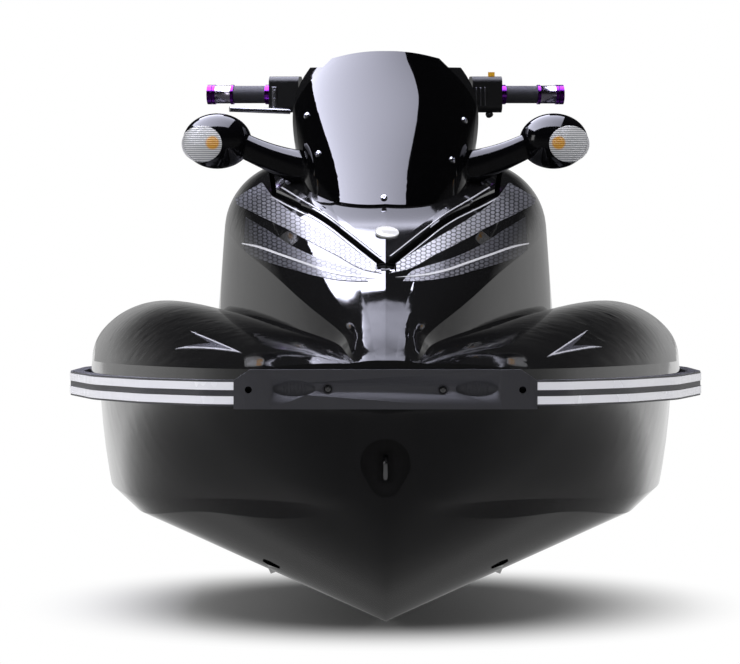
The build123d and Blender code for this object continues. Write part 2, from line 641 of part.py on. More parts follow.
# Reverse bucket pins on the sides of the pump
BUCKET_PIVOT_Y = 1285
BUCKET_PIN_RADIUS = 9
BUCKET_PLATE = (94, 99)
BUCKET_RADIUS = (264, 269)
BUCKET_ARC = (10, 35)
pins = rod((-BUCKET_PLATE[1] - 6, BUCKET_PIVOT_Y, PUMP_Z), (BUCKET_PLATE[1] + 6, BUCKET_PIVOT_Y, PUMP_Z), BUCKET_PIN_RADIUS)
pins -= rod((0, 0, PUMP_Z), (0, LENGTH, PUMP_Z), PUMP_BORE + 2)
pump += pins
save("pump_housing", pump)
shaft = rod((0, ENGINE_Y[1] + SOFT_GAP, PUMP_Z), (0, 1150, PUMP_Z), SHAFT_RADIUS)
save("drive_shaft", shaft)
HUB_RADIUS = 28
IMPELLER_Y = (1150, 1230)
BLADE_COUNT = 4
BLADE_PITCH = 300
BLADE_CHORD = (60, 84, 104)
BLADE_RADII = (20, 52, 84)
BLADE_THICKNESS = 5
blade_faces = []
for radius, chord in zip(BLADE_RADII, BLADE_CHORD):
    twist = math.degrees(math.atan2(BLADE_PITCH, 2 * math.pi * radius))
    blade_place = Plane(origin=(0, 0, radius), x_dir=(1, 0, 0), z_dir=(0, 0, 1))
    blade_faces.append(blade_place * Rot(0, 0, twist) * Rectangle(chord, BLADE_THICKNESS))
blade_form = loft(blade_faces)
impeller = rod((0, IMPELLER_Y[0], PUMP_Z), (0, IMPELLER_Y[1], PUMP_Z), HUB_RADIUS)
for turn in range(BLADE_COUNT):
    blade = Rot(0, 360 / BLADE_COUNT * turn, 0) * blade_form
    impeller += Pos(0, sum(IMPELLER_Y) / 2, PUMP_Z) * blade
impeller = shared(impeller, rod((0, IMPELLER_Y[0], PUMP_Z), (0, IMPELLER_Y[1], PUMP_Z), PUMP_BORE - 1))
save("impeller", impeller)

# Steering nozzle: a ball-shaped bell round the outlet, and a straight throat
bell = Sphere(BELL_RADIUS + BELL_WALL) - Sphere(BELL_RADIUS)
bell = shared(bell, block(-100, 100, -18, 100, -100, 100))
throat_wall = NOZZLE_RADIUS + BELL_WALL
nozzle = bell + rod((0, 35, 0), (0, NOZZLE_END_Y - NOZZLE_PIVOT_Y, 0), throat_wall)
nozzle -= rod((0, 20, 0), (0, 200, 0), NOZZLE_RADIUS)
nozzle -= Sphere(BELL_RADIUS)
pin = Cylinder(NOZZLE_PIN_RADIUS, 2 * NOZZLE_ARM[1]) - Sphere(BELL_RADIUS + BELL_WALL / 2)
nozzle = Pos(0, NOZZLE_PIVOT_Y, PUMP_Z) * (nozzle + pin)
save("steering_nozzle", nozzle)

# Reverse bucket: a curved scoop between two side plates that turn on the pump
inner_radius, outer_radius = BUCKET_RADIUS
lower, upper = [math.radians(angle) for angle in BUCKET_ARC]


def on_arc(radius, angle):
    """A point of the bucket's side view, about its pivot."""
    return (radius * math.cos(angle), radius * math.sin(angle))


middle = (lower + upper) / 2
scoop_side = make_face(
    Plane.YZ
    * (
        ThreePointArc(on_arc(outer_radius, lower), on_arc(outer_radius, middle), on_arc(outer_radius, upper))
        + Line(on_arc(outer_radius, upper), on_arc(inner_radius, upper))
        + ThreePointArc(on_arc(inner_radius, upper), on_arc(inner_radius, middle), on_arc(inner_radius, lower))
        + Line(on_arc(inner_radius, lower), on_arc(outer_radius, lower))
    )
)
plate_side = make_face(
    Plane.YZ
    * Polyline(
        (-16, -14),
        (20, -14),
        on_arc(inner_radius + 2, lower),
        on_arc(inner_radius + 2, middle),
        on_arc(inner_radius + 2, upper),
        on_arc(inner_radius * 0.72, upper),
        (-16, 14),
        close=True,
    )
)
scoop = extrude(scoop_side, amount=BUCKET_PLATE[1], both=True)
plates = extrude(plate_side, amount=BUCKET_PLATE[1], both=True) - extrude(plate_side, amount=BUCKET_PLATE[0], both=True)
bucket = Pos(0, BUCKET_PIVOT_Y, PUMP_Z) * (scoop + plates)
bucket -= rod((-200, BUCKET_PIVOT_Y, PUMP_Z), (200, BUCKET_PIVOT_Y, PUMP_Z), BUCKET_PIN_RADIUS + PIN_GAP)
save("reverse_bucket", bucket)
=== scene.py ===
import math

import bpy
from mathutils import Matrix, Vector


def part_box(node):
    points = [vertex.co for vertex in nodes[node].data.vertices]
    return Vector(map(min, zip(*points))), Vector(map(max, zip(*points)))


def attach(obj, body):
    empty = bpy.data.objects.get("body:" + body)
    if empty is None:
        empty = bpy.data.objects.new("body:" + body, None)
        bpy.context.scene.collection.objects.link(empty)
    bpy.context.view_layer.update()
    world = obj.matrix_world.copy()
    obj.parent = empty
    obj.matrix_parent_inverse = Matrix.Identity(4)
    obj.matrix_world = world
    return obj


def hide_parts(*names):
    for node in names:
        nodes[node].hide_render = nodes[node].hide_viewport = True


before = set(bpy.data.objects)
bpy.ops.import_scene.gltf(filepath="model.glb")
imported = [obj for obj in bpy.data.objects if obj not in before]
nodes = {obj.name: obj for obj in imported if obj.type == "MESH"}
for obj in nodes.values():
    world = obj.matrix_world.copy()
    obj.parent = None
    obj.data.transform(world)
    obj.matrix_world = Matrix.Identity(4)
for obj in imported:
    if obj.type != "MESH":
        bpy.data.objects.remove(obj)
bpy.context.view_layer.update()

bpy.context.scene.view_settings.view_transform = "Standard"

# Camera. A long lens straight ahead of the bow, a little above the rail, looking down by about a degree.
# It frames the craft from the mirrors' tips to its shadow on the floor.
CAMERA_PLACE = Vector((0, -15.56, 0.60))
CAMERA_AIM = Vector((-0.029, 0, 0.2795))
LENS_MM = 405
SENSOR_MM = 36
camera_data = bpy.data.cameras.new("photo_camera")
camera_data.lens = LENS_MM
camera_data.sensor_width = SENSOR_MM
camera_data.clip_end = 400
camera = bpy.data.objects.new("photo_camera", camera_data)
camera.location = CAMERA_PLACE
camera.rotation_euler = (CAMERA_AIM - CAMERA_PLACE).to_track_quat("-Z", "Y").to_euler()
bpy.context.scene.collection.objects.link(camera)
bpy.context.scene.camera = camera


# Studio. White paper under the keel, a white surround behind, and one very large soft lamp overhead to the
# left. The paper takes the craft's shadow near it and fades into plain white further off.
def linear(code):
    """The linear colour of an sRGB hex value."""
    parts = [int(code[place : place + 2], 16) / 255 for place in (1, 3, 5)]
    return [part / 12.92 if part <= 0.04045 else ((part + 0.055) / 1.055) ** 2.4 for part in parts] + [1.0]


def add_node(owner, kind, settings=None, inputs=None, links=None):
    """A new node with its settings, the values of its sockets, and the sockets that feed it."""
    made = owner.node_tree.nodes.new(kind)
    for name, value in (settings or {}).items():
        setattr(made, name, value)
    for name, value in (inputs or {}).items():
        made.inputs[name].default_value = value
    for name, source in (links or {}).items():
        owner.node_tree.links.new(source, made.inputs[name])
    return made


def surface(name, code, roughness, metallic=0.0, **more):
    """A material with its base colour, and its shader."""
    material = bpy.data.materials.new(name)
    material.use_nodes = True
    shader = material.node_tree.nodes["Principled BSDF"]
    values = {"Base Color": linear(code), "Roughness": roughness, "Metallic": metallic}
    values.update({key.replace("_", " "): value for key, value in more.items()})
    for key, value in values.items():
        shader.inputs[key].default_value = value
    return material, shader


FLOOR_Z = -0.2475
FLOOR_SIZE = 160
bpy.ops.object.select_all(action="DESELECT")
bpy.ops.mesh.primitive_plane_add(size=FLOOR_SIZE, location=(0, 0, FLOOR_Z))
floor = bpy.context.object
floor.name = "paper_floor"
paper, paper_shader = surface("matt_white_paper", "#f6f6f6", 0.9)
paper_shader.inputs["Specular IOR Level"].default_value = 0.0
# Uncoated paper scatters light evenly, so it looks flat white and keeps the shadow soft. For the camera it
# goes plain white outside the shadow's place. Shiny surfaces see it dark ahead of the bow
SHADOW_CENTRE_Y = 0.35
SHADOW_REACH = (0.52, 1.15)
where = add_node(paper, "ShaderNodeTexCoord")
ray = add_node(paper, "ShaderNodeLightPath")
about = add_node(
    paper,
    "ShaderNodeMapping",
    {"vector_type": "TEXTURE"},
    {"Location": (0, SHADOW_CENTRE_Y, 0), "Scale": (*SHADOW_REACH, 1)},
    {0: where.outputs["Object"]},
)
away = add_node(paper, "ShaderNodeVectorMath", {"operation": "LENGTH"}, links={0: about.outputs[0]})
far = add_node(
    paper,
    "ShaderNodeMapRange",
    {"interpolation_type": "SMOOTHSTEP"},
    {"From Min": 0.6, "From Max": 1.4, "To Min": 0.0, "To Max": 1.0},
    {"Value": away.outputs["Value"]},
)
seen = add_node(
    paper,
    "ShaderNodeMath",
    {"operation": "MAXIMUM"},
    links={0: ray.outputs["Is Camera Ray"], 1: ray.outputs["Is Transmission Ray"]},
)
share = add_node(
    paper, "ShaderNodeMath", {"operation": "MULTIPLY"}, links={0: seen.outputs[0], 1: far.outputs[0]}
)
plain = add_node(paper, "ShaderNodeEmission", inputs={"Strength": 1.0})
blend = add_node(
    paper,
    "ShaderNodeMixShader",
    links={0: share.outputs[0], 1: paper_shader.outputs[0], 2: plain.outputs[0]},
)
along = add_node(paper, "ShaderNodeSeparateXYZ", links={0: where.outputs["Object"]})
glow = add_node(
    paper,
    "ShaderNodeMapRange",
    {"interpolation_type": "SMOOTHSTEP"},
    {"From Min": -0.8, "From Max": 2.6, "To Min": 0.08, "To Max": 0.8},
    {"Value": along.outputs["Y"]},
)
mirrored_paper = add_node(paper, "ShaderNodeEmission", links={"Strength": glow.outputs[0]})
blend = add_node(
    paper,
    "ShaderNodeMixShader",
    links={0: ray.outputs["Is Glossy Ray"], 1: blend.outputs[0], 2: mirrored_paper.outputs[0]},
)
paper.node_tree.links.new(blend.outputs[0], paper.node_tree.nodes["Material Output"].inputs["Surface"])
floor.data.materials.append(paper)

world = bpy.data.worlds.new("white_studio")
bpy.context.scene.world = world
world.use_nodes = True
background = world.node_tree.nodes["Background"]
background.inputs["Color"].default_value = linear("#ffffff")
ray = add_node(world, "ShaderNodeLightPath")
direction = add_node(world, "ShaderNodeTexCoord")
parts = add_node(world, "ShaderNodeSeparateXYZ", links={0: direction.outputs["Generated"]})
# Shiny surfaces see the white wall behind the craft and to its sides, low down, and a dark room elsewhere
wall = add_node(
    world,
    "ShaderNodeMapRange",
    {"interpolation_type": "SMOOTHSTEP"},
    {"From Min": -0.3, "From Max": 0.85, "To Min": 0.05, "To Max": 0.42},
    {"Value": parts.outputs["Y"]},
)
height = add_node(
    world,
    "ShaderNodeMapRange",
    {"interpolation_type": "SMOOTHSTEP"},
    {"From Min": 0.03, "From Max": 0.3, "To Min": 1.0, "To Max": 0.03},
    {"Value": parts.outputs["Z"]},
)
wall = add_node(
    world, "ShaderNodeMath", {"operation": "MULTIPLY"}, links={0: wall.outputs[0], 1: height.outputs[0]}
)
# Matt surfaces get the surround's plain light, and the camera sees it white, also through glass
SURROUND_LIGHT = 0.6
level = add_node(
    world,
    "ShaderNodeMix",
    {"data_type": "FLOAT"},
    {"A": SURROUND_LIGHT},
    {"Factor": ray.outputs["Is Glossy Ray"], "B": wall.outputs[0]},
)
for name in ("Is Camera Ray", "Is Transmission Ray"):
    level = add_node(
        world,
        "ShaderNodeMix",
        {"data_type": "FLOAT"},
        {"B": 1.0},
        {"Factor": ray.outputs[name], "A": level.outputs[0]},
    )
world.node_tree.links.new(level.outputs[0], background.inputs["Strength"])

# The lamps light the craft evenly. Their diffusers, which its gloss mirrors, are separate sheets that only
# glossy rays see
# Columns: name, place, aim, width, height, watts, hex colour
LAMPS = [
    ("overhead_softbox", (-0.9, 0.2, 3.45), (-0.9, 0.2, 0), 3.4, 3.6, 150, "#efeffc"),
    ("left_softbox", (-3.9, -3.4, 1.7), (0, -0.6, 0.3), 0.9, 1.6, 12, "#ffffff"),
]
for name, place, aim, width, height, watts, code in LAMPS:
    lamp_data = bpy.data.lights.new(name, "AREA")
    lamp_data.shape = "RECTANGLE"
    lamp_data.size = width
    lamp_data.size_y = height
    lamp_data.energy = watts
    lamp_data.color = linear(code)[:3]
    lamp = bpy.data.objects.new(name, lamp_data)
    lamp.location = place
    lamp.rotation_euler = (Vector(aim) - Vector(place)).to_track_quat("-Z", "Y").to_euler()
    lamp.visible_glossy = name != "overhead_softbox"
    bpy.context.scene.collection.objects.link(lamp)

# Stretched white cloth lit from behind: an even glow, a little stronger to the left
SHEET_Z = 3.45
# Columns: name, low x, high x, low y, high y, strength at low x, strength at high x
SHEETS = [
    ("front_diffuser", -3.3, 1.2, -2.5, 1.5, 14.0, 6.0),
    ("rear_diffuser", -1.9, 0.08, 1.5, 2.6, 13.0, 9.0),
]
for name, low_x, high_x, low_y, high_y, low, high in SHEETS:
    bpy.ops.object.select_all(action="DESELECT")
    bpy.ops.mesh.primitive_plane_add(size=1, location=((low_x + high_x) / 2, (low_y + high_y) / 2, SHEET_Z))
    sheet = bpy.context.object
    sheet.name = name
    sheet.scale = (high_x - low_x, high_y - low_y, 1)
    bpy.ops.object.transform_apply(location=True, rotation=True, scale=True)
    cloth = bpy.data.materials.new(f"white_{name}_cloth")
    cloth.use_nodes = True
    place = add_node(cloth, "ShaderNodeTexCoord")
    across = add_node(cloth, "ShaderNodeSeparateXYZ", links={0: place.outputs["Object"]})
    strength = add_node(
        cloth,
        "ShaderNodeMapRange",
        inputs={"From Min": low_x, "From Max": high_x, "To Min": low, "To Max": high},
        links={"Value": across.outputs["X"]},
    )
    shine = add_node(
        cloth,
        "ShaderNodeEmission",
        inputs={"Color": linear("#e9eaff")},
        links={"Strength": strength.outputs[0]},
    )
    unseen = add_node(cloth, "ShaderNodeBsdfTransparent")
    path = add_node(cloth, "ShaderNodeLightPath")
    both = add_node(
        cloth,
        "ShaderNodeMixShader",
        links={0: path.outputs["Is Glossy Ray"], 1: unseen.outputs[0], 2: shine.outputs[0]},
    )
    cloth.node_tree.links.new(both.outputs[0], cloth.node_tree.nodes["Material Output"].inputs["Surface"])
    sheet.data.materials.append(cloth)


# Hull, deck, lid and cowl. Glass fibre laid up in polished moulds, with black gelcoat as the outer skin.
# The skin mirrors the studio, with the slow waves of a hand-laid moulding.
WAVE_MM = 160


def relief(material, shader, size_mm, depth_mm, detail=2.0, stretch=(1, 1, 1)):
    """Unevenness of a surface, as bump from noise with that grain size and depth. Returns the noise."""
    place = add_node(material, "ShaderNodeTexCoord")
    grain = add_node(
        material, "ShaderNodeMapping", inputs={"Scale": stretch}, links={0: place.outputs["Object"]}
    )
    noise = add_node(
        material,
        "ShaderNodeTexNoise",
        inputs={"Scale": 1000 / size_mm, "Detail": detail},
        links={"Vector": grain.outputs[0]},
    )
    bump = add_node(
        material,
        "ShaderNodeBump",
        inputs={"Distance": depth_mm / 1000, "Strength": 1.0},
        links={"Height": noise.outputs[0]},
    )
    if shader.inputs["Normal"].is_linked:
        material.node_tree.links.new(shader.inputs["Normal"].links[0].from_socket, bump.inputs["Normal"])
    material.node_tree.links.new(bump.outputs[0], shader.inputs["Normal"])
    return noise


def vary(material, shader, noise, socket, low, high):
    """A shader value that wanders between two levels with a noise."""
    made = add_node(
        material,
        "ShaderNodeMapRange",
        inputs={"From Min": 0.35, "From Max": 0.65, "To Min": low, "To Max": high},
        links={"Value": noise.outputs[0]},
    )
    material.node_tree.links.new(made.outputs[0], shader.inputs[socket])


def dress(material, *names):
    """Gives CAD nodes a material in place of their packed one."""
    for name in names:
        mesh = nodes[name].data
        mesh.materials.clear()
        mesh.materials.append(material)


# Gelcoat sprayed into a polished mould: a deep black gloss, with slow waves that bend what it mirrors
gelcoat, shader = surface("polished_black_gelcoat", "#131314", 0.05, IOR=1.52)
noise = relief(gelcoat, shader, WAVE_MM, 0.2, detail=1.0)
vary(gelcoat, shader, noise, "Roughness", 0.035, 0.08)
dress(gelcoat, "hull", "deck", "hood", "cowl")


# Graphics on the front deck: printed film pressed on to the gelcoat. Two bands of honeycomb mesh follow each
# edge of the V, with a white line under the lower one. A painted sheen makes the cells silver at the tip and
# grey further out.
# Columns: x, z, whether the outline has a corner there. Outlines are in millimetres.
UPPER_BAND = [
    (-223, 560, True), (-196.5, 529.4, False), (-145.8, 495.3, False), (-88.2, 461.8, False),
    (-46, 436.5, False), (-20, 420.5, False), (-3, 407.5, True), (-7.1, 403.0, True),
    (-43.3, 411.0, False), (-83.8, 432.5, False), (-132.7, 456.5, False), (-187.1, 484.0, False),
    (-234.0, 504.5, False), (-268, 520.2, True), (-273, 531, True),
]
LOWER_BAND = [
    (-251.1, 498.2, True), (-207.6, 474.6, False), (-165.5, 449.2, False), (-115.9, 428.1, False),
    (-67.5, 413.5, False), (-46, 406.5, False), (-30, 389.5, True), (-67.2, 390.4, False),
    (-115.5, 396.7, False), (-164.8, 408.6, False), (-206.5, 419.4, False), (-236.7, 428.3, False),
    (-254.0, 440.8, True),
]
WHITE_LINE = [
    (-257, 451.5, True), (-228.3, 447.7, False), (-185.9, 435.0, False), (-144.4, 421.8, False),
    (-103.5, 408.7, False), (-63.3, 400.4, False), (-17, 395.6, True), (-63.3, 397.6, False),
    (-103.5, 404.9, False), (-144.4, 417.9, False), (-185.9, 431.0, False), (-228.3, 444.0, False),
    (-257, 449.5, True),
]
LINE_LIFT = (0, -0.0006, 0.0006)
FILM_LIFT = 0.0006
FILM_THICKNESS = 0.0003
FILM_GRID = 0.008
FILM_WELD = 0.00005
FILM_AHEAD = 2.5
FILM_ABOVE = 2


def only(thing):
    """Selects one object and makes it the active one."""
    bpy.ops.object.select_all(action="DESELECT")
    thing.select_set(True)
    bpy.context.view_layer.objects.active = thing


def apply_all(thing):
    """Applies every modifier of an object, in order."""
    only(thing)
    for name in [modifier.name for modifier in thing.modifiers]:
        bpy.ops.object.modifier_apply(modifier=name)


def settle(thing, name, material, body, angle=35):
    """Names a finished piece, keeps its place in its mesh, and gives it its material and body."""
    only(thing)
    bpy.ops.object.transform_apply(location=True, rotation=True, scale=True)
    bpy.ops.object.mode_set(mode="EDIT")
    bpy.ops.mesh.select_all(action="SELECT")
    bpy.ops.mesh.normals_make_consistent(inside=False)
    bpy.ops.object.mode_set(mode="OBJECT")
    bpy.ops.object.shade_smooth_by_angle(angle=math.radians(angle))
    thing.name = name
    thing.data.name = name
    thing.data.materials.clear()
    thing.data.materials.append(material)
    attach(thing, body)


def film(outline, node, from_above=False):
    """A thin film with that outline, pressed on to a CAD node from the front, or from above."""
    line = bpy.data.curves.new("film", "CURVE")
    line.dimensions = "2D"
    line.fill_mode = "BOTH"
    line.resolution_u = 8
    spline = line.splines.new("BEZIER")
    spline.bezier_points.add(len(outline) - 1)
    spline.use_cyclic_u = True
    for point, (across, up, corner) in zip(spline.bezier_points, outline):
        point.co = (across / 1000, up / 1000, 0)
    for point, (across, up, corner) in zip(spline.bezier_points, outline):
        point.handle_left_type = point.handle_right_type = "VECTOR" if corner else "AUTO"
    thing = bpy.data.objects.new("film", line)
    bpy.context.scene.collection.objects.link(thing)
    thing.location = (0, 0, FILM_ABOVE) if from_above else (0, -FILM_AHEAD, 0)
    thing.rotation_euler = (0, 0, 0) if from_above else (math.pi / 2, 0, 0)
    only(thing)
    bpy.ops.object.convert(target="MESH")
    bpy.ops.object.transform_apply(location=True, rotation=True, scale=True)
    second = 1 if from_above else 2
    bpy.ops.object.mode_set(mode="EDIT")
    for axis, places in ((0, [x for x, _, _ in outline]), (second, [z for _, z, _ in outline])):
        start = min(places) / 1000
        for step in range(1, math.ceil((max(places) - min(places)) / 1000 / FILM_GRID)):
            cut = [0, 0, 0]
            facing = [0, 0, 0]
            cut[axis] = start + step * FILM_GRID
            facing[axis] = 1
            bpy.ops.mesh.select_all(action="SELECT")
            bpy.ops.mesh.bisect(plane_co=cut, plane_no=facing)
    bpy.ops.mesh.select_all(action="SELECT")
    bpy.ops.mesh.remove_doubles(threshold=FILM_WELD)
    bpy.ops.object.mode_set(mode="OBJECT")
    press = thing.modifiers.new("press", "SHRINKWRAP")
    press.target = nodes[node]
    press.wrap_method = "PROJECT"
    press.wrap_mode = "ABOVE_SURFACE"
    press.use_project_y = not from_above
    press.use_project_z = from_above
    press.use_positive_direction = not from_above
    press.use_negative_direction = from_above
    press.offset = FILM_LIFT
    wall = thing.modifiers.new("wall", "SOLIDIFY")
    wall.thickness = FILM_THICKNESS
    wall.offset = 1
    apply_all(thing)
    return thing


def mirrored(outline):
    """The same outline on the other side of the craft."""
    return [(-across, up, corner) for across, up, corner in outline]


# The cells are drawn in units of one cell: a lattice of half cells, stepped sideways and up to the next row
HEX_WIDTH = 0.0100
HEX_RISE = 0.0066
HEX_TURN = math.radians(-32)
HEX_WALL = 0.1
HEX_HALF = Vector((0.5, 1, 0.866))
HEX_STEP = (0.5, 0, 0.866)


def mesh_film(name, ground, ink_with_painted_sheen, ink_beyond_painted_sheen, reach):
    """Metallic honeycomb print on a dark ground; a painted sheen makes it pale at the tip, dull at that
    reach.
    """
    material, shader = surface(name, ink_with_painted_sheen, 0.28)
    place = add_node(material, "ShaderNodeTexCoord")
    both = add_node(
        material, "ShaderNodeVectorMath", {"operation": "ABSOLUTE"}, links={0: place.outputs["Object"]}
    )
    flat = add_node(
        material,
        "ShaderNodeMapping",
        inputs={"Scale": (1 / HEX_WIDTH, 0, 1 / HEX_RISE), "Rotation": (0, HEX_TURN, 0)},
        links={0: both.outputs[0]},
    )
    moved = add_node(
        material, "ShaderNodeVectorMath", {"operation": "ADD"}, {1: HEX_STEP}, {0: flat.outputs[0]}
    )
    cells, spread = [], []
    for lattice in (flat, moved):
        one = add_node(
            material,
            "ShaderNodeVectorMath",
            {"operation": "WRAP"},
            {1: HEX_HALF, 2: -HEX_HALF},
            {0: lattice.outputs[0]},
        )
        far_off = add_node(
            material,
            "ShaderNodeVectorMath",
            {"operation": "DOT_PRODUCT"},
            links={0: one.outputs[0], 1: one.outputs[0]},
        )
        cells.append(one.outputs[0])
        spread.append(far_off.outputs["Value"])
    nearer = add_node(
        material, "ShaderNodeMath", {"operation": "LESS_THAN"}, links={0: spread[0], 1: spread[1]}
    )
    cell = add_node(
        material,
        "ShaderNodeMix",
        {"data_type": "VECTOR"},
        links={0: nearer.outputs[0], 4: cells[1], 5: cells[0]},
    )
    inside = add_node(
        material, "ShaderNodeVectorMath", {"operation": "ABSOLUTE"}, links={0: cell.outputs[1]}
    )
    slanted = add_node(
        material, "ShaderNodeVectorMath", {"operation": "DOT_PRODUCT"}, {1: HEX_STEP}, {0: inside.outputs[0]}
    )
    split = add_node(material, "ShaderNodeSeparateXYZ", links={0: inside.outputs[0]})
    edge = add_node(
        material,
        "ShaderNodeMath",
        {"operation": "MAXIMUM"},
        links={0: split.outputs[0], 1: slanted.outputs["Value"]},
    )
    line = add_node(
        material,
        "ShaderNodeMapRange",
        inputs={"From Min": 0.45 - HEX_WALL, "From Max": 0.53 - HEX_WALL, "To Min": 0, "To Max": 1},
        links={"Value": edge.outputs[0]},
    )
    across = add_node(material, "ShaderNodeSeparateXYZ", links={0: both.outputs[0]})
    # Painted sheen: the cells are pale near the V's tip and fade to the duller ink further out
    painted_sheen_fade = add_node(
        material,
        "ShaderNodeMapRange",
        inputs={"From Min": 0.02, "From Max": reach, "To Min": 0, "To Max": 1},
        links={"Value": across.outputs[0]},
    )
    ink = add_node(
        material,
        "ShaderNodeMix",
        {"data_type": "RGBA"},
        {6: linear(ink_with_painted_sheen), 7: linear(ink_beyond_painted_sheen)},
        {0: painted_sheen_fade.outputs[0]},
    )
    colour = add_node(
        material,
        "ShaderNodeMix",
        {"data_type": "RGBA"},
        {7: linear(ground)},
        {0: line.outputs[0], 6: ink.outputs[2]},
    )
    material.node_tree.links.new(colour.outputs[2], shader.inputs["Base Color"])
    relief(material, shader, 60, 0.03)
    return material


# Metallic ink on dark film, sealed under varnish. A painted sheen makes the cells pale at the tip and grey
# out along each band
upper_film = mesh_film("silver_mesh_film", "#1b1c20", "#e4e4ee", "#63646e", 0.27)
lower_film = mesh_film("grey_mesh_film", "#131417", "#9a9aa4", "#3c3d43", 0.25)
# Opaque white ink under clear varnish: one plain line with a soft gloss
white_film, shader = surface("white_printed_film", "#eeeef4", 0.15)
noise = relief(white_film, shader, 60, 0.03)
vary(white_film, shader, noise, "Roughness", 0.12, 0.2)
for side, turn in (("right", lambda outline: outline), ("left", mirrored)):
    settle(film(turn(UPPER_BAND), "deck"), f"upper_band_{side}", upper_film, "root")
    settle(film(turn(LOWER_BAND), "deck"), f"lower_band_{side}", lower_film, "root")
    line = film(turn(WHITE_LINE), "deck")
    line.location = LINE_LIFT
    settle(line, f"white_line_{side}", white_film, "root")


# Lip of the lid: painted highlights along its edge, and along the deck's edge across the gap. Both are thin
# bright lines pressed on as film, standing in for the light on the rounded edges.
# Columns: x, y of the lid's edge in millimetres, seen from above
LIP_EDGE = [
    (14.5, -985), (33.2, -950), (59.6, -900), (86, -850), (112.2, -800), (137.8, -750), (159.8, -700),
    (178.6, -650), (193, -608),
]
# Columns: node, body, how far out each side of the painted highlight lies from the lid's edge
LIP_HIGHLIGHTS = [("hood", "bow_lid", -7.5, -5.0), ("deck", "root", 11.0, 13.5)]
# Metallised film, rolled on: a bright edge with satin highlights. It is the silver edge of each arrow, and
# the same bright film makes the painted highlights along the lid's lip
silver_print_and_painted_highlight, shader = surface("silver_print_and_painted_lip_highlight", "#dcdce6", 0.2)
noise = relief(silver_print_and_painted_highlight, shader, 60, 0.03)
vary(silver_print_and_painted_highlight, shader, noise, "Roughness", 0.15, 0.26)
for side, sign in (("right", -1), ("left", 1)):
    for node, body, near, beyond in LIP_HIGHLIGHTS:
        rows = [(sign * (x + near), y) for x, y in LIP_EDGE]
        rows += [(sign * (x + beyond), y) for x, y in reversed(LIP_EDGE)]
        ends = (rows[0], rows[-1], rows[len(LIP_EDGE) - 1], rows[len(LIP_EDGE)])
        # Each painted highlight is a bright film line laid along one edge of the gap
        lip_highlight = film([(x, y, (x, y) in ends) for x, y in rows], node, from_above=True)
        settle(lip_highlight, f"lip_painted_highlight_{node}_{side}", silver_print_and_painted_highlight, body)


# Arrowheads on the front deck: printed film, a silver edge round a grey centre. They point to the bow.
# Columns: x, y in millimetres of the tip, the outer tail, the notch and the inner tail
ARROWS = {
    "right": [(-246, -1365), (-342, -988), (-297.5, -1195), (-366, -1077)],
    "left": [(275.5, -1352), (355, -950), (320.5, -1174), (377.5, -1029)],
}
ARROW_CENTRE = 0.74
ARROW_LIFT = 0.0005
# Grey ink under clear varnish: half the gloss of the gelcoat round it
dark_film, shader = surface("grey_printed_film", "#4a4a52", 0.25)
noise = relief(dark_film, shader, 60, 0.03)
vary(dark_film, shader, noise, "Roughness", 0.2, 0.3)
for side, corners in ARROWS.items():
    centre_x = sum(x for x, _ in corners) / len(corners)
    centre_y = sum(y for _, y in corners) / len(corners)
    arrow = film([(x, y, True) for x, y in corners], "deck", from_above=True)
    settle(arrow, f"arrow_edge_{side}", silver_print_and_painted_highlight, "root")
    inner = [
        (centre_x + (x - centre_x) * ARROW_CENTRE, centre_y + (y - centre_y) * ARROW_CENTRE, True)
        for x, y in corners
    ]
    arrow = film(inner, "deck", from_above=True)
    arrow.location = (0, 0, ARROW_LIFT)
    settle(arrow, f"arrow_centre_{side}", dark_film, "root")


# Badge on the nose of the lid: a plain enamelled disc in a raised rim, bonded on. The hood slopes away there,
# so from ahead it looks like an oval.
BADGE_PLACE = (0.0025, 0.473)
BADGE_LENGTH = 1.12
# Columns: height and radius in millimetres, as in every turned profile below
BADGE_PROFILE = [
    (-2, 20.5), (1.6, 21.2), (2.4, 20.6), (2.4, 19.6), (1.9, 19.1), (2.2, 15), (2.5, 8), (2.6, 1),
]
RAY_START_Y = -3


def turned(profile, sides=40):
    """A turned solid on the Z axis, drawn up ring by ring from rows of height and radius in millimetres."""
    height, radius = profile[0]
    bpy.ops.object.select_all(action="DESELECT")
    bpy.ops.mesh.primitive_circle_add(
        vertices=sides, radius=radius / 1000, fill_type="NGON", location=(0, 0, height / 1000)
    )
    thing = bpy.context.object
    bpy.ops.object.transform_apply(location=True, rotation=True, scale=True)
    bpy.ops.object.mode_set(mode="EDIT")
    bpy.ops.mesh.select_all(action="SELECT")
    for (height, radius), (next_height, next_radius) in zip(profile, profile[1:]):
        step = (0, 0, (next_height - height) / 1000)
        bpy.ops.mesh.extrude_region_move(TRANSFORM_OT_translate={"value": step})
        ratio = next_radius / radius
        bpy.ops.transform.resize(value=(ratio, ratio, 1), center_override=(0, 0, 0))
    bpy.ops.mesh.select_all(action="SELECT")
    bpy.ops.mesh.normals_make_consistent(inside=False)
    bpy.ops.object.mode_set(mode="OBJECT")
    return thing


def on_surface(node, across, up):
    """Where a line from ahead at that x and z meets a CAD node, and which way the surface faces there."""
    _, spot, facing, _ = nodes[node].ray_cast(Vector((across, RAY_START_Y, up)), Vector((0, 1, 0)))
    return spot, facing


def stand(thing, spot, facing):
    """Stands a turned piece on a spot, with its axis along that direction."""
    thing.location = spot
    thing.rotation_euler = Vector(facing).to_track_quat("Z", "Y").to_euler()


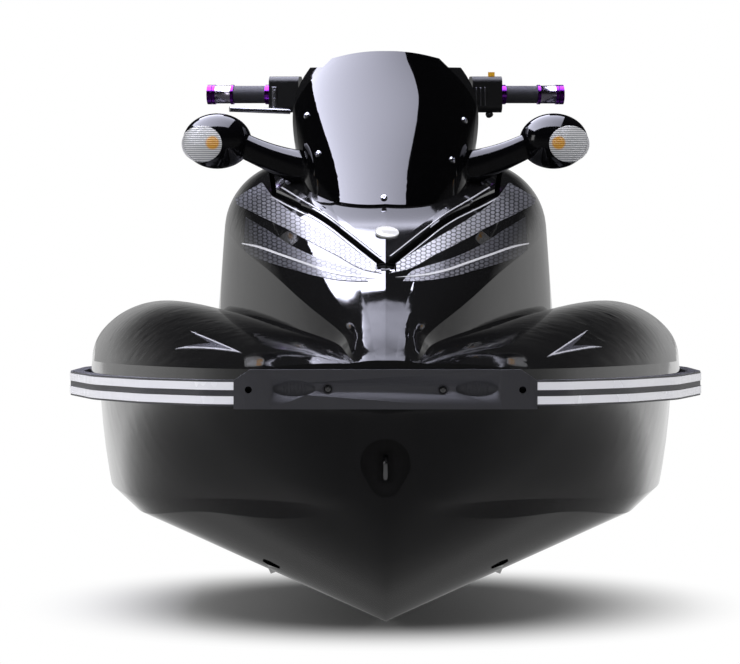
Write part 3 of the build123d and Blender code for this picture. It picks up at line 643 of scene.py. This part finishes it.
def copies(thing, places):
    """One joined object of copies of a piece, each stood on its spot. The pattern piece is used up."""
    made = []
    for spot, facing in places:
        again = thing.copy()
        again.data = thing.data.copy()
        bpy.context.scene.collection.objects.link(again)
        stand(again, spot, facing)
        made.append(again)
    bpy.data.objects.remove(thing)
    only(made[0])
    for one in made:
        one.select_set(True)
    bpy.ops.object.join()
    return bpy.context.object


# Enamel fired on to a disc: white and glassy, with a faint unevenness
enamel, shader = surface("white_vitreous_enamel", "#f0f0f0", 0.12)
noise = relief(enamel, shader, 25, 0.03)
vary(enamel, shader, noise, "Roughness", 0.08, 0.16)
badge = turned(BADGE_PROFILE, 64)
spot, facing = on_surface("hood", *BADGE_PLACE)
badge.scale = (1, BADGE_LENGTH, 1)
stand(badge, spot, facing)
settle(badge, "hood_badge", enamel, "bow_lid")


# Windscreen: a dark smoked acrylic sheet, cut and bent hot over a former. Five chromed button-head screws
# with a socket in each hold it to the cowl.
# Columns: x, z of each screw
SCREEN_SCREWS = [
    (-0.1416, 0.6807), (-0.1204, 0.6116), (0.1416, 0.6720), (0.1192, 0.6007), (-0.0027, 0.5332),
]
SCREW_HEAD = [(-2, 5.2), (0.4, 6.2), (2.0, 5.9), (3.4, 4.8), (4.0, 3.2), (4.1, 2.7), (1.6, 2.6), (1.5, 0.4)]
# Cast acrylic, tinted through and polished: near black, with a hard reflection that bends only a little
acrylic, shader = surface("smoked_acrylic_sheet", "#050506", 0.02, IOR=1.58)
noise = relief(acrylic, shader, 220, 0.08, detail=0.0)
vary(acrylic, shader, noise, "Roughness", 0.015, 0.04)
dress(acrylic, "windscreen")
# Chrome plate over polished steel: a bright and sharp mirror
chrome, shader = surface("polished_chrome_plate", "#dcdce2", 0.08, 1.0)
noise = relief(chrome, shader, 4, 0.01)
vary(chrome, shader, noise, "Roughness", 0.05, 0.14)
screws = copies(turned(SCREW_HEAD, 24), [on_surface("windscreen", *place) for place in SCREEN_SCREWS])
settle(screws, "windscreen_screws", chrome, "bow_lid", 25)


# Mirrors: egg-shaped gloss black mouldings on arms of two joined lengths. A white bowl and a ribbed clear
# lens sit in the front of each, over an amber bulb, and the mirror glass sits in its back.
MIRROR_PLACE = (0.303, -0.560, 0.635)
BOWL_PLACE = (0.028, -0.0068, -0.005)
BOWL_PROFILE = [(-0.2, 20), (0, 31), (5, 33), (5.6, 32.6), (1.4, 28), (1, 8), (1, 1)]
BOWL_WIDTH = 1.1
# Injection-moulded nylon under black lacquer: a round, wet-looking gloss
paint, shader = surface("gloss_black_moulding", "#08080a", 0.06, IOR=1.5)
noise = relief(paint, shader, 45, 0.04)
vary(paint, shader, noise, "Roughness", 0.04, 0.1)
dress(paint, *[name for name in nodes if name.startswith(("mirror_arm", "mirror_housing"))])
# Float glass silvered at the back: a plain mirror
silver, shader = surface("silvered_mirror_glass", "#dcdde0", 0.02, 1.0)
relief(silver, shader, 200, 0.02)
dress(silver, "mirror_glass_left", "mirror_glass_right")
# White lacquer baked on to a pressed bowl: an even, satin white that brightens the lens
reflector, shader = surface("white_satin_reflector", "#f4f4f6", 0.35)
relief(reflector, shader, 6, 0.4)
# Clear acrylic moulded with fine level ribs. The pale lines along the ribs are painted highlights, and where
# the bulb's cap shows through, the lens is painted amber
lens, shader = surface("ribbed_clear_lens", "#ffffff", 0.1, Alpha=0.8, IOR=1.49)
RIB_MM = 3.6
# At a Scale of 1 the Wave texture repeats every 314 mm
WAVE_REPEAT_MM = 314
BULB_SEEN = (0.311, 0, 0.632)
BULB_CAP = 0.0125
place = add_node(lens, "ShaderNodeTexCoord")
both = add_node(
    lens, "ShaderNodeVectorMath", {"operation": "ABSOLUTE"}, links={0: place.outputs["Object"]}
)
ribs = add_node(
    lens,
    "ShaderNodeTexWave",
    {"bands_direction": "Z", "wave_profile": "SIN"},
    {"Scale": WAVE_REPEAT_MM / RIB_MM, "Distortion": 0.5, "Detail": 1.0},
    {"Vector": place.outputs["Object"]},
)
# Painted highlights: each rib is pale white along its crest and grey between, as the light catches it
silvered = add_node(
    lens,
    "ShaderNodeMix",
    {"data_type": "RGBA"},
    {6: linear("#9b9ea4"), 7: linear("#ffffff")},
    {0: ribs.outputs["Fac"]},
)
flat = add_node(
    lens, "ShaderNodeVectorMath", {"operation": "MULTIPLY"}, {1: (1, 0, 1)}, {0: both.outputs[0]}
)
off = add_node(lens, "ShaderNodeVectorMath", {"operation": "DISTANCE"}, {1: BULB_SEEN}, {0: flat.outputs[0]})
cap = add_node(
    lens,
    "ShaderNodeMapRange",
    inputs={"From Min": BULB_CAP * 0.8, "From Max": BULB_CAP * 1.1, "To Min": 1, "To Max": 0},
    links={"Value": off.outputs["Value"]},
)
# The bulb's cap painted on the lens in amber, with the same painted highlights along the ribs
amber_with_painted_highlights = add_node(
    lens,
    "ShaderNodeMix",
    {"data_type": "RGBA"},
    {6: linear("#d9860f"), 7: linear("#ffcf6a")},
    {0: ribs.outputs["Fac"]},
)
colour = add_node(
    lens,
    "ShaderNodeMix",
    {"data_type": "RGBA"},
    links={0: cap.outputs[0], 6: silvered.outputs[2], 7: amber_with_painted_highlights.outputs[2]},
)
lens.node_tree.links.new(colour.outputs[2], shader.inputs["Base Color"])
raised = add_node(
    lens,
    "ShaderNodeBump",
    inputs={"Distance": 0.0008, "Strength": 1.0},
    links={"Height": ribs.outputs["Fac"]},
)
lens.node_tree.links.new(raised.outputs[0], shader.inputs["Normal"])
dress(lens, "signal_lens_left", "signal_lens_right")
# Blown amber glass: a warm orange, even in the shade of the bowl
amber, shader = surface("amber_bulb_glass", "#f0961a", 0.2)
relief(amber, shader, 6, 0.1)
dress(amber, "signal_bulb_left", "signal_bulb_right")
for side, sign in (("left", 1), ("right", -1)):
    bowl = turned(BOWL_PROFILE, 48)
    bowl.scale = (BOWL_WIDTH, 1, 1)
    x, y, z = MIRROR_PLACE
    dx, dy, dz = BOWL_PLACE
    stand(bowl, (sign * (x + dx), y + dy, z + dz), (0, -1, 0))
    settle(bowl, f"lens_reflector_{side}", reflector, "bow_lid")


# Rub rail and bumper: extruded and moulded black rubber, bolted along the hull's flange. Two metallised
# strips are let into the rail, and two screws sunk in black cups hold the bumper.
# Columns: x, z of each screw
BUMPER_SCREWS = [(-0.0968, 0.2158), (0.0968, 0.2145)]
SCREW_SINK = 0.0052
BORE_PROFILE = [(-6.6, 9.0), (8, 9.0)]
CUP_PROFILE = [(-6.5, 8.9), (-1.2, 8.9), (-1.0, 8.3), (-1.3, 7.6), (-5.2, 7.0), (-5.3, 1)]
# Rubber pressed in a heated mould: charcoal, with a fine pore and broad, soft highlights
rubber, shader = surface("moulded_black_rubber", "#3a3a3f", 0.5)
noise = relief(rubber, shader, 1.6, 0.08)
vary(rubber, shader, noise, "Roughness", 0.42, 0.6)
dress(rubber, "rub_rail", "lid_buffers")
# Foil laminated under clear plastic: a smooth and even silvery white
strip, shader = surface("metallised_plastic_strip", "#f0f0f6", 0.24)
noise = relief(strip, shader, 90, 0.02)
vary(strip, shader, noise, "Roughness", 0.2, 0.28)
dress(strip, "rail_stripes")
heads = [on_surface("bow_bumper", *place) for place in BUMPER_SCREWS]
moulding = nodes["bow_bumper"].copy()
moulding.data = moulding.data.copy()
bpy.context.scene.collection.objects.link(moulding)
bores = copies(turned(BORE_PROFILE, 32), heads)
boring = moulding.modifiers.new("boring", "BOOLEAN")
boring.object = bores
apply_all(moulding)
bpy.data.objects.remove(bores)
settle(moulding, "bumper_moulding", rubber, "root")
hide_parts("bow_bumper")
cups = copies(turned(CUP_PROFILE, 32), heads)
settle(cups, "bumper_screw_cups", rubber, "root")
# Stainless bar, drawn and buffed: bright, with fine lines along it
steel, shader = surface("polished_stainless_steel", "#cfcfd2", 0.16, 1.0)
noise = relief(steel, shader, 2.5, 0.01, stretch=(1, 1, 8))
vary(steel, shader, noise, "Roughness", 0.1, 0.22)
sunk = [(spot - Vector(facing) * SCREW_SINK, facing) for spot, facing in heads]
settle(copies(turned(SCREW_HEAD, 24), sunk), "bumper_screws", steel, "root", 25)


# Bow eye and metal fittings: bent stainless bar with nuts behind it, and cast alloy parts for the jet pump,
# painted. The castings keep a fine sand grain under the paint.
EYE_PLATE_Y = -1.4055
# Buffed steel bar on a plate: bright metal ahead of the plate's face, and plain black, not metallic, behind
# it
eye, shader = surface("steel_bar_black_behind_plate_face", "#cfcfd2", 0.16)
place = add_node(eye, "ShaderNodeTexCoord")
back = add_node(eye, "ShaderNodeSeparateXYZ", links={0: place.outputs["Object"]})
ahead_of_plate_face = add_node(eye, "ShaderNodeMath", {"operation": "LESS_THAN"}, {1: EYE_PLATE_Y}, {0: back.outputs["Y"]})
colour = add_node(
    eye,
    "ShaderNodeMix",
    {"data_type": "RGBA"},
    {6: linear("#0c0c0d"), 7: linear("#d6d6da")},
    {0: ahead_of_plate_face.outputs[0]},
)
eye.node_tree.links.new(colour.outputs[2], shader.inputs["Base Color"])
eye.node_tree.links.new(ahead_of_plate_face.outputs[0], shader.inputs["Metallic"])
relief(eye, shader, 2.5, 0.01)
dress(eye, "bow_eye")
dress(steel, "stern_eyes", "grab_rail", "impeller", "drive_shaft", "lid_hinge_pin")
# Sand-cast aluminium under clear grey paint: a fine grain in a half-gloss grey
alloy, shader = surface("painted_cast_aluminium", "#8d8f92", 0.42, 0.7)
noise = relief(alloy, shader, 3.5, 0.12)
vary(alloy, shader, noise, "Roughness", 0.36, 0.52)
dress(alloy, "ride_plate", "intake_grate", "pump_housing", "steering_nozzle", "reverse_bucket")
# Cast iron under brushed paint: coarser and duller than the alloy
iron, shader = surface("painted_cast_iron", "#6b6c6e", 0.5)
noise = relief(iron, shader, 4, 0.2)
vary(iron, shader, noise, "Roughness", 0.45, 0.6)
dress(iron, "engine")


# Controls: a bent steel bar with rubber grips, turned and anodised end rings, and moulded nylon housings.
# The outer part of each grip is a polished sleeve between two purple rings.
GRIP_OUTER = Vector((0.318, -0.266, 0.721))
GRIP_INNER = Vector((0.110, -0.300, 0.721))
# Columns: distance in from the grip's end, radius, both in millimetres
SLEEVE = [(-1, 14), (-1, 16.9), (-7, 16.9), (-8, 16.5), (-34, 16.5), (-35, 17.2), (-39, 17.2), (-40, 15)]
RING_PROFILE = [(-3, 17.0), (-2.6, 18.0), (2.6, 18.0), (3, 17.0)]
RING_PLACES = (0.004, 0.038)
# Nylon from a spark-etched mould: black with a soft grey sheen and no clear reflection
plastic, shader = surface("textured_black_nylon", "#131315", 0.42)
noise = relief(plastic, shader, 1.2, 0.05)
vary(plastic, shader, noise, "Roughness", 0.35, 0.5)
dress(plastic, "handlebar_pad", "switch_housing", "throttle_housing")
dress(plastic, "steering_collar", "fuel_cap", "drain_plugs")
# Powder-coated steel tube: an even satin black
satin, shader = surface("satin_black_steel", "#101012", 0.35)
noise = relief(satin, shader, 2, 0.02)
vary(satin, shader, noise, "Roughness", 0.3, 0.4)
dress(satin, "handlebar", "steering_column")
# Soft rubber moulded with a fine tread: a dull dark grey
grip, shader = surface("ribbed_grip_rubber", "#2b2b31", 0.6)
noise = relief(grip, shader, 2.2, 0.25)
vary(grip, shader, noise, "Roughness", 0.5, 0.7)
dress(grip, "grip_left", "grip_right")
# Aluminium turned, dyed and anodised: deep purple metal with fine turning marks
purple, shader = surface("purple_anodised_aluminium", "#74289c", 0.3, 1.0)
noise = relief(purple, shader, 1.5, 0.01)
vary(purple, shader, noise, "Roughness", 0.14, 0.28)
dress(purple, "grip_collars_left", "grip_collars_right")
# Aluminium turned and polished: a pale mirror between its purple rings
polished, shader = surface("polished_grip_sleeve", "#cdc6da", 0.2, 1.0)
noise = relief(polished, shader, 1.2, 0.02)
vary(polished, shader, noise, "Roughness", 0.15, 0.3)
# Steel strip pressed and tumbled: bright, with blurred highlights
bright, shader = surface("bright_steel_lever", "#a9a9ae", 0.25, 1.0)
noise = relief(bright, shader, 2, 0.02)
vary(bright, shader, noise, "Roughness", 0.2, 0.35)
dress(bright, "throttle_lever")
# Nylon coloured through: a plain warm yellow with a soft gloss
yellow, shader = surface("yellow_moulded_button", "#f4b41c", 0.3)
noise = relief(yellow, shader, 3, 0.02)
vary(yellow, shader, noise, "Roughness", 0.25, 0.38)
dress(yellow, "start_button")
# Tinted cover glass: black and sharp, as the display is off
glass, shader = surface("dark_display_glass", "#0a0d10", 0.05)
relief(glass, shader, 150, 0.02)
dress(glass, "instrument_display")
for side, sign in (("left", 1), ("right", -1)):
    outer = Vector((sign * GRIP_OUTER.x, GRIP_OUTER.y, GRIP_OUTER.z))
    inner = Vector((sign * GRIP_INNER.x, GRIP_INNER.y, GRIP_INNER.z))
    out = (outer - inner).normalized()
    sleeve = turned([(along, radius) for along, radius in reversed(SLEEVE)], 48)
    stand(sleeve, outer, out)
    settle(sleeve, f"grip_sleeve_{side}", polished, "handlebar_assembly")
    places = [(outer - out * distance, out) for distance in RING_PLACES]
    rings = copies(turned(RING_PROFILE, 48), places)
    settle(rings, f"grip_rings_{side}", purple, "handlebar_assembly")


# Fittings on the switch housings: bright ribs and a moulded knob on one, and a steel bracket with three
# screws on the other. All are fixed to the nylon boxes.
# Columns: x, z of each rib
RIB_PLACES = [(0.166, 0.717), (0.174, 0.717), (0.182, 0.717)]
# Columns: width, height, depth and edge radius, all in millimetres
RIB_SIZE = (2.4, 34, 5, 1.0)
BRACKET_SIZE = (9, 46, 4, 1.2)
BRACKET_PLACE = (-0.2035, 0.712)
BRACKET_SCREW = [(-1, 2.2), (1.4, 2.8), (2.2, 2.4), (2.4, 1.4), (1.4, 1.2), (1.3, 0.4)]
BRACKET_SCREW_LIFT = 0.0015
BRACKET_SCREW_RISES = (-0.015, 0.0, 0.015)
KNOB_PROFILE = [(-3, 3.4), (5, 3.4), (5.5, 6.0), (7, 6.8), (12, 6.8), (13.4, 5.6), (13.8, 1)]
KNOB_PLACE = Vector((0.187, -0.292, 0.692))
KNOB_AXIS = Vector((0.35, -0.5, -0.8))
# Steel strip brushed and nickel-plated: a grey metal with long soft highlights
rib_metal, shader = surface("satin_nickel_rib", "#8f8f96", 0.35, 1.0)
noise = relief(rib_metal, shader, 2, 0.02)
vary(rib_metal, shader, noise, "Roughness", 0.28, 0.42)


def bar_piece(width, height, depth, edge):
    """A short flat bar with rounded edges, facing up the Z axis."""
    bpy.ops.object.select_all(action="DESELECT")
    bpy.ops.mesh.primitive_cube_add(size=1, scale=(width / 1000, height / 1000, depth / 1000))
    thing = bpy.context.object
    bpy.ops.object.transform_apply(location=True, rotation=True, scale=True)
    rounding = thing.modifiers.new("rounding", "BEVEL")
    rounding.width = edge / 1000
    rounding.segments = 3
    apply_all(thing)
    return thing


ribs = copies(bar_piece(*RIB_SIZE), [on_surface("switch_housing", *place) for place in RIB_PLACES])
settle(ribs, "switch_ribs", rib_metal, "handlebar_assembly")
knob = turned(KNOB_PROFILE, 24)
stand(knob, KNOB_PLACE, KNOB_AXIS)
settle(knob, "choke_knob", plastic, "handlebar_assembly")
spot, facing = on_surface("throttle_housing", *BRACKET_PLACE)
bracket = bar_piece(*BRACKET_SIZE)
stand(bracket, spot, facing)
settle(bracket, "throttle_bracket", rib_metal, "handlebar_assembly")
spots = [(spot + Vector((0, -BRACKET_SCREW_LIFT, rise)), facing) for rise in BRACKET_SCREW_RISES]
screws = copies(turned(BRACKET_SCREW, 20), spots)
settle(screws, "bracket_screws", steel, "handlebar_assembly", 25)


# Seats: moulded foam in grained vinyl, stapled to a base board. The stuffing swells each cover, and two sewn
# seams draw it in along its top.
WELD = 0.0001
TOP_EDGE = 0.002
TOP_ROUND = 0.035
COVER_SCALE = (0.97, 0.985, 0.97)
COVER_GRID = 0.006
STUFFING_PRESSURE = 4
STUFFING_FRAMES = 20
SWELL_LIMIT = 0.008
SEAM_X = 0.085
SEAM_WIDTH = 0.0035
SEAM_DEPTH = 0.004
SEAM_REACH = 0.05
# Vinyl embossed with a fine leather grain: black, with broad dull highlights
vinyl, shader = surface("grained_black_vinyl", "#17171a", 0.48)
noise = relief(vinyl, shader, 2.2, 0.15)
vary(vinyl, shader, noise, "Roughness", 0.4, 0.56)
for node in ("seat_front", "seat_rear"):
    pad = nodes[node].copy()
    pad.data = nodes[node].data.copy()
    pad.parent = None
    bpy.context.scene.collection.objects.link(pad)
    low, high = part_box(node)
    only(pad)
    bpy.ops.object.mode_set(mode="EDIT")
    bpy.ops.mesh.select_all(action="SELECT")
    bpy.ops.mesh.remove_doubles(threshold=WELD)
    bpy.ops.mesh.dissolve_limited(angle_limit=math.radians(2))
    bpy.ops.mesh.select_all(action="DESELECT")
    bpy.ops.object.mode_set(mode="OBJECT")
    for edge in pad.data.edges:
        ends = [pad.data.vertices[index].co for index in edge.vertices]
        edge.select = all(end.z > high[2] - TOP_EDGE for end in ends)
    bpy.ops.object.mode_set(mode="EDIT")
    bpy.ops.mesh.select_mode(type="EDGE")
    bpy.ops.mesh.bevel(offset=TOP_ROUND, segments=5, affect="EDGES")
    bpy.ops.mesh.select_all(action="SELECT")
    foot = ((low[0] + high[0]) / 2, (low[1] + high[1]) / 2, low[2])
    bpy.ops.transform.resize(value=COVER_SCALE, center_override=foot)
    bpy.ops.object.mode_set(mode="OBJECT")
    voxels = pad.modifiers.new("voxels", "REMESH")
    voxels.mode = "VOXEL"
    voxels.voxel_size = COVER_GRID
    apply_all(pad)
    before = [vertex.co.copy() for vertex in pad.data.vertices]
    stuffing = pad.modifiers.new("stuffing", "CLOTH")
    stuffing.settings.use_pressure = True
    stuffing.settings.uniform_pressure_force = STUFFING_PRESSURE
    stuffing.settings.effector_weights.gravity = 0
    for number in range(1, STUFFING_FRAMES + 1):
        bpy.context.scene.frame_set(number)
    swollen = pad.evaluated_get(bpy.context.evaluated_depsgraph_get()).data
    after = [vertex.co.copy() for vertex in swollen.vertices]
    pad.modifiers.remove(stuffing)
    bpy.context.scene.frame_set(1)
    for vertex, old, new in zip(pad.data.vertices, before, after):
        move = new - old
        if move.length > SWELL_LIMIT:
            move = move.normalized() * SWELL_LIMIT
        vertex.co = old + move
    smooth = pad.modifiers.new("smooth", "SUBSURF")
    smooth.levels = smooth.render_levels = 1
    apply_all(pad)
    for vertex in pad.data.vertices:
        place = vertex.co
        if place.z > high[2] - SEAM_REACH:
            aside = abs(abs(place.x) - SEAM_X)
            place.z -= SEAM_DEPTH * math.exp(-((aside / SEAM_WIDTH) ** 2))
    settle(pad, f"{node}_cover", vinyl, "root")
    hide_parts(node)


# Mats: closed-cell foam with grooves milled along it, bonded to the deck. The grooves drain water to the
# stern. They stand about two centimetres apart.
GROOVE_MM = 20
# Foam with a milled skin: dark grey with no shine, so that the grooves show by shade alone
foam, shader = surface("grooved_foam_mat", "#3a3b3f", 0.85)
noise = relief(foam, shader, 1.5, 0.2)
vary(foam, shader, noise, "Roughness", 0.8, 0.9)
place = add_node(foam, "ShaderNodeTexCoord")
lanes = add_node(
    foam,
    "ShaderNodeTexWave",
    {"bands_direction": "X", "wave_profile": "SIN"},
    {"Scale": WAVE_REPEAT_MM / GROOVE_MM},
    {"Vector": place.outputs["Object"]},
)
groove = add_node(
    foam,
    "ShaderNodeMapRange",
    inputs={"From Min": 0.0, "From Max": 0.18, "To Min": 0, "To Max": 1},
    links={"Value": lanes.outputs["Fac"]},
)
cut = add_node(
    foam,
    "ShaderNodeBump",
    inputs={"Distance": 0.002, "Strength": 1.0},
    links={"Height": groove.outputs[0], "Normal": shader.inputs["Normal"].links[0].from_socket},
)
foam.node_tree.links.new(cut.outputs[0], shader.inputs["Normal"])
dress(foam, "footwell_mats", "rear_deck_mat")
